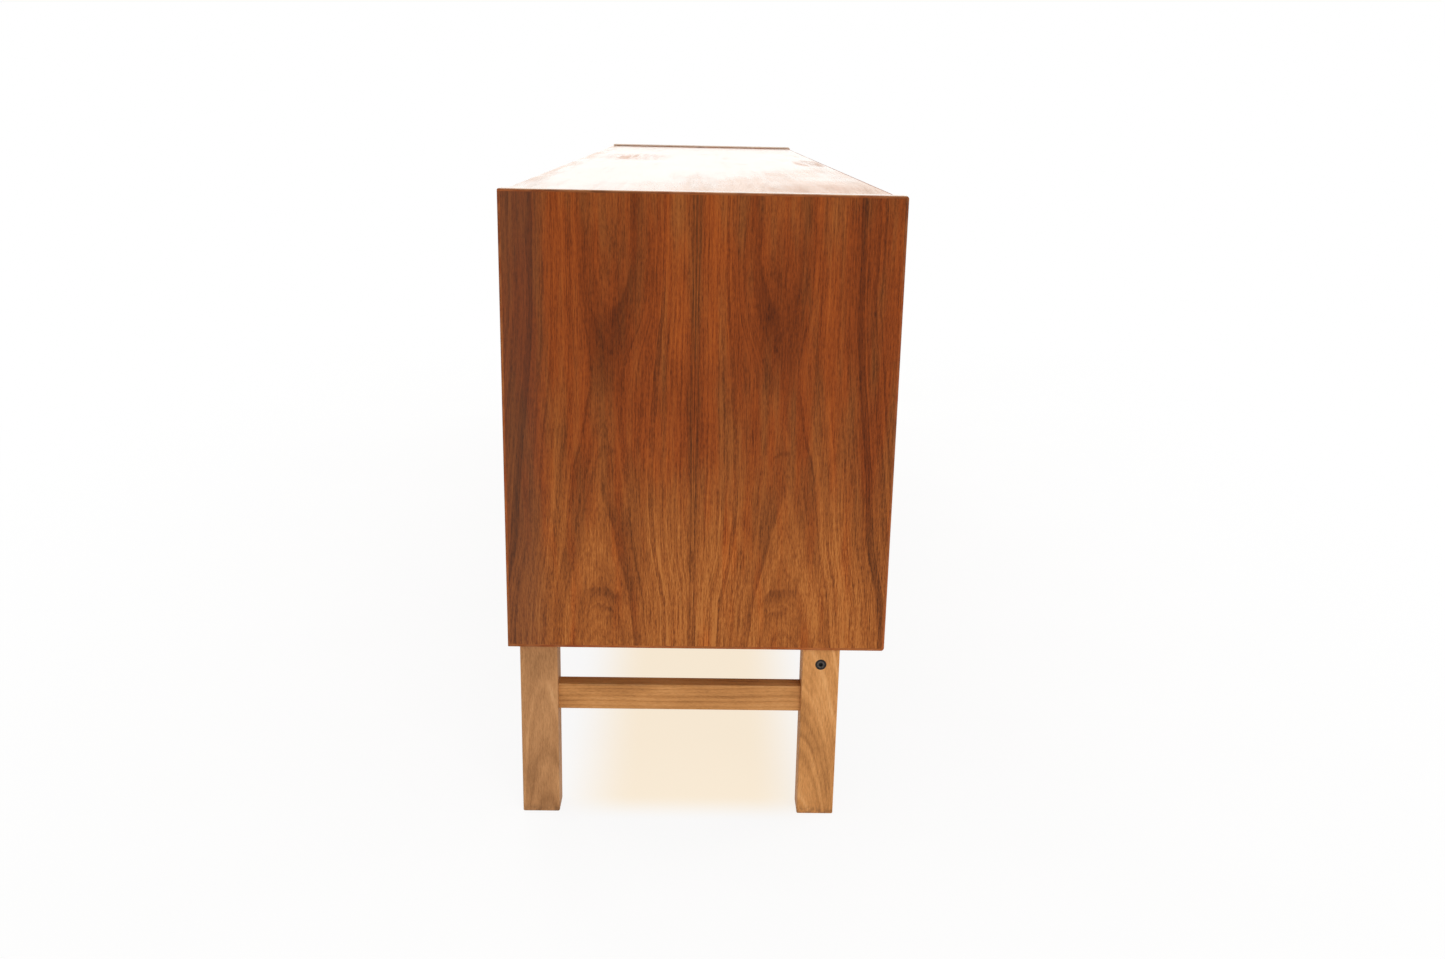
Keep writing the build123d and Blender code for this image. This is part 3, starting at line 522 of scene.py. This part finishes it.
finish, x, y, tone, colour, roughness, height = long_board("top_veneer", 2.0, 104.0, 0.0, 21.0)
ragged = cloud(x * 0.006, y * 0.04, 0.0, 4.0)
smears = cloud(x * 0.003, y * 0.09, 0.0, 3.0)
handled = (1 - (x + y * 1.2).rise(-1000.0, -100.0)) * (0.0 - y).rise(-170.0, 110.0)
near_end = 1 - x.rise(-980.0, -600.0)
wiped = (cloud(x * 0.0042 + 21.0, y * 0.014, 0.0, 4.0) - 0.5) * 1.1 + (smears - 0.5) * 0.7
rear_edge = y.rise(188.0, 216.0) * ragged.rise(0.36, 0.56)
marks = x * 0.0
for middle, size, weight in worn_spots:
    marks = marks.most(blot(x, y, middle, size) * weight)
marks = marks * (0.25 + (ragged + smears).rise(0.84, 1.16) * 0.75)
dull = (handled * 0.66 + near_end * 0.24 + wiped).rise(0.0, 0.85).most(rear_edge * 0.8).most(marks)
lacquer = 1 - dull * (0.25 + (0.75 - tone).most(0.0) * 0.45) - marks * 0.30
colour = (dull * 0.55 - marks * 0.15).blend(colour, bleached_top)
gloss = {"Specular IOR Level": 0.4, "Coat Roughness": 0.12, "Coat Weight": lacquer}
dress(lay_on(finish, colour, roughness + dull * 0.14, height, smooth_relief, gloss), "top_panel")

for board, seam, heart, dry, seed in (("bottom_panel", 0.0, 108.0, 0.3, 44.0),
                                      ("left_shelf", 20.0, 96.0, 0.4, 63.0),
                                      ("right_shelf", 30.0, 92.0, 0.4, 75.0)):
    finish, x, y, tone, colour, roughness, height = long_board(board + "_veneer", seam, heart, dry, seed)
    dress(lay_on(finish, colour, roughness, height, smooth_relief, satin), board)


# Dividers
# Two upright boards between the bays, veneered on both faces with the grain upright and less figure, because
# they only show inside the open bays.

divider_seam = 10.0
divider_heart = 140.0

for divider, seed in (("left_divider", 83.0), ("right_divider", 92.0)):
    finish, (x, y, z) = new_finish(divider + "_veneer")
    depth = 52.0 + 30.0 * lines(z * 0.003, seed, 1.0)
    ring, outer = flitch(abs(y - divider_seam), z, divider_heart, depth, seed)
    tone = walnut_tone(ring, outer, y, z, seed)
    colour, roughness, height = walnut_face(tone, y, z, 0.35, seed)
    dress(lay_on(finish, colour, roughness, height, veneer_relief, satin), divider)


# Front lippings
# Solid walnut strips glued on the front edges of the top, the bottom and the dividers, each with its grain
# along it. Hands have polished them in patches, which are paler and smoother than the rest.

divider_low, divider_high = corners("right_divider")
polished_walnut = (0.40, 0.15, 0.05, 1.0)
shaped_relief = 0.0001

finish, (x, y, z) = new_finish("front_lipping")
upright = (abs(x) < divider_high.x + 1.0) * (abs(x) > divider_low.x - 2.0)
upright = upright * (z > divider_low.z) * (z < divider_high.z)
along = x + upright * (z - x)
beside = z + upright * (x - z)
colour, roughness, height = solid_walnut(along, y, beside, 0.02)
polished = cloud(along * 0.01, beside * 0.05, y * 0.1, 3.0).rise(0.45, 0.65)
colour = (polished * 0.25).blend(colour, polished_walnut)
dress(lay_on(finish, colour, roughness - polished * 0.08, height, shaped_relief, satin), "front_lippings")


# Back panel
# Thin board let into a rebate behind the case and screwed on, veneered outside in narrow leaves of plain
# walnut with almost no lacquer, so that it is drier and dustier than the rest.

leaf_width = 245.0
back_seed = 52.0
back_dust = (0.36, 0.24, 0.16, 1.0)
dry_relief = 0.00015

finish, (x, y, z) = new_finish("back_veneer")
leaves = x / leaf_width
leaf = leaves - leaves.sum("FLOOR", leaves)
across = abs(leaf - 0.5) * leaf_width
ring, outer = flitch(across, z, 62.0, 50.0 + 30.0 * lines(z * 0.004, 3.0, 1.0), back_seed)
tone = walnut_tone(ring, outer, x, z, back_seed) * 0.75 + 0.08
colour, roughness, height = walnut_face(tone, x, z, 0.8, back_seed)
dust = cloud(x * 0.003, z * 0.005, 0.0, 5.0).rise(0.34, 0.74) * 0.10
colour = dust.blend(colour, back_dust)
dress(lay_on(finish, colour, roughness, height, dry_relief, satin), "back_panel")


# Door tracks
# Brown extruded plastic channels, let into the top and the bottom of the side bays. Fine lines from the
# extrusion run along them, and dust lies in them in patches.

track_brown = ((0.3, (0.040, 0.021, 0.012)), (0.7, (0.070, 0.040, 0.024)))
track_dust = (0.17, 0.12, 0.09, 1.0)
track_relief = 0.00006
hard_plastic = {"Specular IOR Level": 0.4}

finish, (x, y, z) = new_finish("brown_track")
drawn = cloud(x * 0.004, y * 1.2, z * 1.2, 3.0)
dusty = cloud(x * 0.03, y * 0.2, z * 0.2, 3.0).rise(0.45, 0.7)
colour = (dusty * 0.35).blend(drawn.tones(*track_brown), track_dust)
roughness = 0.42 + dusty * 0.3 + (drawn - 0.5) * 0.2
dress(lay_on(finish, colour, roughness, drawn, track_relief, hard_plastic), "lower_tracks", "upper_tracks")


# Sliding doors
# Four doors, two in each side bay, faced with a book-matched pair of upright walnut leaves. The seam is in
# the middle of each door, and their upright edges are rounded and a little worn.

head_gap = 2.0
door_head = corners("top_panel")[0].z - head_gap
worn_walnut = (0.42, 0.16, 0.055, 1.0)

for door, seed, heart in (("left_outer_door", 101.0, 84.0), ("left_inner_door", 118.0, 90.0),
                          ("right_inner_door", 137.0, 90.0), ("right_outer_door", 155.0, 84.0)):
    node = door + "_panel"
    finish, axes = new_finish(door + "_veneer")
    x, y, z = axes
    low, high = corners(node)
    seam = (low.x + high.x) / 2
    down = door_head - z + (cloud(x * 0.006, z * 0.003) - 0.5) * 30
    crown = 190.0 + (seed % 7.0) * 8.0
    depth = 66.0 - 0.10 * ((80.0 * 80.0 + (down - crown) ** 2).root() - 80.0)
    ring, outer = flitch(abs(x - seam), down, heart + down.rise(60.0, 400.0) * 14.0, depth, seed)
    tone = walnut_tone(ring, outer, x, down, seed) * 1.10
    colour, roughness, height = walnut_face(tone, x, down, 0.0, seed, -0.06)
    worn = edge(axes, node, 2.5) * cloud(x * 0.05, y * 0.05, z * 0.03).rise(0.42, 0.64)
    colour = (worn * 0.4).blend(colour, worn_walnut)
    dress(lay_on(finish, colour, roughness, height, veneer_relief, satin), node)


# Door cups
# Turned walnut cups let flush into the doors as finger pulls. The lathe has left fine rings in the dish, and
# fingers have darkened its floor and polished its rim. The whole dish is also painted darker than the rim,
# as painted shade in the hollow.

doors = ("left_outer_door", "left_inner_door", "right_inner_door", "right_outer_door")
finger_dirt = (0.07, 0.022, 0.008, 1.0)

for door in doors:
    node = door + "_cup"
    finish, (x, y, z) = new_finish(door + "_turned_walnut")
    low, high = corners(node)
    middle = (low + high) / 2
    radius = (high.x - low.x) / 2
    out = ((x - middle.x) ** 2 + (z - middle.z) ** 2).root()
    # The dish is painted darker than the rim all over: painted shade in the hollow
    dark = 0.06 + (1 - out.rise(radius - 4.5, radius - 2.5)) * 0.12
    colour, roughness, height = solid_walnut(x, y, z, dark)
    turned = lines(out * 1.6, 2.0, 1.0)
    handled = (1 - out.rise(8.0, radius - 4.0)) * cloud(x * 0.1, y * 0.1, z * 0.1).rise(0.3, 0.6)
    colour = (handled * 0.35).blend(colour, finger_dirt)
    rim = out.rise(radius - 4.0, radius - 2.0) * (1 - out.rise(radius - 1.0, radius))
    colour = (rim * 0.25).blend(colour, worn_walnut)
    roughness = roughness - rim * 0.1 + handled * 0.05
    dress(lay_on(finish, colour, roughness, height * 0.5 + turned * 0.7, shaped_relief, satin), node)


# Door glides
# Two small nylon glides pressed into the foot of each door, to run in the lower track: off-white and hard,
# with grime in patches.

nylon_white = (0.72, 0.70, 0.65, 1.0)
glide_grime = (0.36, 0.30, 0.23, 1.0)
glide_relief = 0.00004

finish, (x, y, z) = new_finish("nylon_glide")
grime = cloud(x * 0.25, y * 0.25, z * 0.25, 4.0).rise(0.42, 0.7)
colour = (grime * 0.45).blend(nylon_white, glide_grime)
dress(lay_on(finish, colour, 0.38 + grime * 0.3, grime, glide_relief, hard_plastic),
      *[door + "_glides" for door in doors])


# Shelf pins
# Turned brass pins that carry the two shelves, pushed into holes drilled in the end panels and the dividers.
# They have tarnished brown in patches.

clean_brass = (0.62, 0.43, 0.15, 1.0)
tarnished_brass = (0.30, 0.185, 0.065, 1.0)
pin_relief = 0.00003

finish, (x, y, z) = new_finish("dull_brass")
tarnish = cloud(x * 0.4, y * 0.4, z * 0.4, 4.0).rise(0.35, 0.68)
colour = tarnish.blend(clean_brass, tarnished_brass)
dress(lay_on(finish, colour, 0.26 + tarnish * 0.22, tarnish, pin_relief, bare_metal), "shelf_pins")


# Drawer runners
# Strips of pale hardwood screwed to the dividers, in grooves of the drawer sides. Wax and the sliding
# drawers have darkened and smoothed them in streaks.

pale_fleck = (0.34, 0.20, 0.09, 1.0)


def pale_wood(name, run, tint, seed):
    """Pale close-grained hardwood with its grain along the given axis."""
    finish, axes = new_finish(name)
    along = axes["xyz".index(run)]
    a, b = [axis for axis, letter in zip(axes, "xyz") if letter != run]
    growth = cloud(a * 0.10 + seed, b * 0.10, along * 0.0035)
    streak = cloud(a * 0.6 + seed, b * 0.6, along * 0.010, 4.0)
    fleck = cloud(a * 1.1, b * 1.1 + seed, along * 0.14, 1.0).rise(0.62, 0.74)
    tone = 0.5 + (growth - 0.5) * 1.3 + (streak - 0.5) * 0.9
    colour = (fleck * 0.3).blend(tone.tones(*tint), pale_fleck)
    roughness = 0.55 + fleck * 0.1 + (growth - 0.5) * 0.2
    return finish, colour, roughness, streak * 0.5 - fleck * 0.5, axes


cream = ((0.2, (0.44, 0.285, 0.145)), (0.5, (0.59, 0.42, 0.24)), (0.8, (0.70, 0.53, 0.335)))
runner_wax = (0.40, 0.25, 0.12, 1.0)
oiled = {"Specular IOR Level": 0.35}

finish, colour, roughness, height, (x, y, z) = pale_wood("runner_wood", "y", cream, 3.0)
waxed = cloud(x * 0.1, y * 0.012, z * 0.1, 3.0).rise(0.42, 0.62)
colour = (waxed * 0.35).blend(colour, runner_wax)
dress(lay_on(finish, colour, roughness - waxed * 0.15, height, veneer_relief, oiled), "drawer_runners")


# Drawers
# Four graduated drawers. Their fronts are cut one above the other from one pair of walnut leaves with the
# grain lying, and their sides join them with lapped dovetails. Sides and backs are a pale hardwood, and the
# bottoms are thin plywood.


def in_each_drawer(piece):
    """The names of that piece in the four drawers."""
    return [f"drawer_{number}_{piece}" for number in (1, 2, 3, 4)]


front_seam = 470.0
front_seed = 171.0

finish, (x, y, z) = new_finish("drawer_front_veneer")
depth = 46.0 + 34.0 * lines(x * 0.0042, front_seed, 1.0)
heart = 112.0 + (lines(x * 0.003, 12.0, 1.0) - 0.5) * 44
ring, outer = flitch(abs(z - front_seam), x, heart, depth, front_seed)
tone = walnut_tone(ring, outer, z, x, front_seed) * 1.10
colour, roughness, height = walnut_face(tone, z, x, 0.0, front_seed, -0.06)
dress(lay_on(finish, colour, roughness, height, veneer_relief, satin), *in_each_drawer("front"))

side_grime = (0.38, 0.24, 0.12, 1.0)
finish, colour, roughness, height, (x, y, z) = pale_wood("drawer_side_wood", "y", cream, 8.0)
streaked = 1 - z.sum("PINGPONG", z, 60.0).rise(0.0, 12.0)
handled = streaked * cloud(y * 0.01, z * 0.02).rise(0.4, 0.7)
colour = (handled * 0.2).blend(colour, side_grime)
dress(lay_on(finish, colour, roughness, height, veneer_relief, oiled), *in_each_drawer("sides"))

finish, colour, roughness, height, axes = pale_wood("drawer_back_wood", "x", cream, 15.0)
dress(lay_on(finish, colour, roughness, height, veneer_relief, oiled), *in_each_drawer("back"))

birch = ((0.2, (0.44, 0.29, 0.16)), (0.5, (0.55, 0.385, 0.23)), (0.8, (0.64, 0.47, 0.30)))
bottom_stain = (0.36, 0.22, 0.11, 1.0)
finish, colour, roughness, height, (x, y, z) = pale_wood("drawer_bottom_plywood", "x", birch, 26.0)
stain = cloud(x * 0.012, y * 0.012, z * 0.5, 3.0).rise(0.5, 0.75)
colour = (stain * 0.25).blend(colour, bottom_stain)
dress(lay_on(finish, colour, roughness + 0.12, height, dry_relief, bare_wood), *in_each_drawer("bottom"))


# Drawer pulls
# Long lens-shaped pulls shaped from solid walnut and tenoned into the fronts, with the grain along them.
# Their upper and lower edges are paler: partly polish from fingers, partly a painted highlight.

pull_wear_and_highlight = (0.46, 0.18, 0.06, 1.0)

for pull in in_each_drawer("pull"):
    finish, (x, y, z) = new_finish(pull + "_walnut")
    low, high = corners(pull)
    colour, roughness, height = solid_walnut(x, y, z, 0.12)
    # Paler upper and lower edges: partly finger wear, partly a painted highlight
    worn = 1 - (z - low.z).least(high.z - z).rise(0.6, 2.6)
    worn = worn * (0.35 + cloud(x * 0.03, y * 0.1, z * 0.1).rise(0.3, 0.6) * 0.65)
    colour = (worn * 0.5).blend(colour, pull_wear_and_highlight)
    dress(lay_on(finish, colour, roughness - worn * 0.1, height, shaped_relief, satin), pull)


# Floor and backdrop
# A plain pale studio floor that runs out into a white backdrop. It keeps the case's real shadow, and a warm
# painted shade lies on it under the case, between the legs.


def in_view(tree):
    """1 for what the camera, a reflection or glass shows, and 0 for the light that falls on the wood."""
    path = Shade(tree).node("ShaderNodeLightPath", out="Is Camera Ray")
    return (path + path.also("Is Glossy Ray") + path.also("Is Transmission Ray")).least(1.0)


floor_width = 24.0
half_length = 1000.0 * cad_box[1][0]
half_stance = 190.0
sheet_white = (1.0, 1.0, 1.0, 1.0)
warm_shadow = (1.0, 0.87, 0.69, 1.0)

bpy.ops.mesh.primitive_plane_add(size=floor_width, location=(0.0, 0.0, 0.0))
floor = bpy.context.object
floor.name = "studio_floor"
bpy.ops.object.mode_set(mode="EDIT")
bpy.ops.mesh.subdivide(number_cuts=7)
bpy.ops.object.mode_set(mode="OBJECT")

finish, (x, y, z) = new_finish("pale_floor")
out = (abs(x) - half_length).most(abs(y) - half_stance)
sweep = cloud(x * 0.004, y * 0.004, 0.0, 3.0)
# Warm painted shade in the floor's glow under the case, between the legs
under = 1 - abs(x).rise(half_length - 50.0, half_length + 15.0)
under = under * (1 - abs(y).rise(70.0, half_stance - 10.0))
paint = sweep.tones((0.3, (0.87, 0.865, 0.855)), (0.7, (0.91, 0.905, 0.90)))
diffuse = paint.node("ShaderNodeBsdfDiffuse", None, {"Color": paint})
glow = under.blend(sheet_white, warm_shadow)
white = glow.node("ShaderNodeEmission", None, {"Color": glow, "Strength": 1.0})
shown = in_view(finish.node_tree) * (0.88 + out.rise(200.0, 1600.0) * 0.12)
mixed = shown.node("ShaderNodeMixShader", None, {"Fac": shown, 1: diffuse, 2: white})
mixed.node("ShaderNodeOutputMaterial", None, {"Surface": mixed})
floor.data.materials.append(finish)


# Light
# Soft studio light: a large box overhead, one box each on the near end, the front, the back and the far end,
# and an even white surround. A weak warm sheet beyond the far end tints the glare on the top's lacquer.


def soft_box(name, place, target, width, power, tint=(1.0, 1.0, 1.0), mirrored=False):
    """A square lamp of that width; mirrored ones show in the lacquer, the others only light the wood."""
    bpy.ops.object.light_add(type="AREA", location=place)
    lamp = bpy.context.object
    lamp.name = name
    lamp.data.shape = "SQUARE"
    lamp.data.size = width
    lamp.data.energy = power
    lamp.data.color = tint
    lamp.visible_glossy = mirrored
    lamp.rotation_euler = (Vector(target) - Vector(place)).to_track_quat("-Z", "Y").to_euler()


soft_box("overhead_box", (-0.2, -0.2, 3.4), (0.0, 0.0, 0.3), 3.2, 40.0)
soft_box("end_box", (-4.4, -1.2, 1.9), (-0.9, 0.0, 0.45), 2.4, 58.0)
soft_box("front_box", (1.0, -4.4, 2.2), (0.0, 0.0, 0.45), 2.6, 58.0)
soft_box("back_box", (0.6, 4.6, 2.4), (0.0, 0.0, 0.45), 2.6, 52.0)
soft_box("right_box", (4.2, 1.4, 3.2), (0.9, 0.0, 0.45), 2.4, 58.0)
soft_box("far_sheet", (6.4, 0.0, 1.6), (0.9, 0.0, 0.7), 4.0, 14.0, (1.0, 0.93, 0.76), mirrored=True)

room_white = (1.0, 0.985, 0.965, 1.0)
surround = bpy.data.worlds.new("white_surround")
bpy.context.scene.world = surround
surround.use_nodes = True
surround.node_tree.nodes.clear()
shown = in_view(surround.node_tree)
room = shown.node("ShaderNodeBackground", None, {"Color": room_white, "Strength": 0.48})
sheet = shown.node("ShaderNodeBackground", None, {"Color": sheet_white, "Strength": 1.0})
mixed = shown.node("ShaderNodeMixShader", None, {"Fac": shown, 1: room, 2: sheet})
mixed.node("ShaderNodeOutputWorld", None, {"Surface": mixed})


# Camera
# Stands off the left end, a little above the top, and looks along the case and down, with the horizon tipped
# by a degree.

camera_data = bpy.data.cameras.new("camera")
camera = bpy.data.objects.new("camera", camera_data)
bpy.context.scene.collection.objects.link(camera)
camera_data.sensor_width = 36.0
camera_data.sensor_fit = "HORIZONTAL"
camera_data.lens = 33.09
camera_data.clip_start = 0.02
stand = (-2.4446, 0.0048, 0.8227)
yaw = math.radians(-1.233)
pitch = math.radians(15.472)
roll = math.radians(1.184)
sight = Vector((math.cos(pitch) * math.cos(yaw), math.cos(pitch) * math.sin(yaw), -math.sin(pitch)))
level = sight.cross(Vector((0.0, 0.0, 1.0))).normalized()
upright = level.cross(sight)
right = math.cos(roll) * level + math.sin(roll) * upright
up = math.cos(roll) * upright - math.sin(roll) * level
turn = Matrix((right, up, -sight)).transposed().to_4x4()
camera.matrix_world = Matrix.Translation(stand) @ turn
bpy.context.scene.camera = camera
bpy.context.scene.view_settings.view_transform = "Standard"
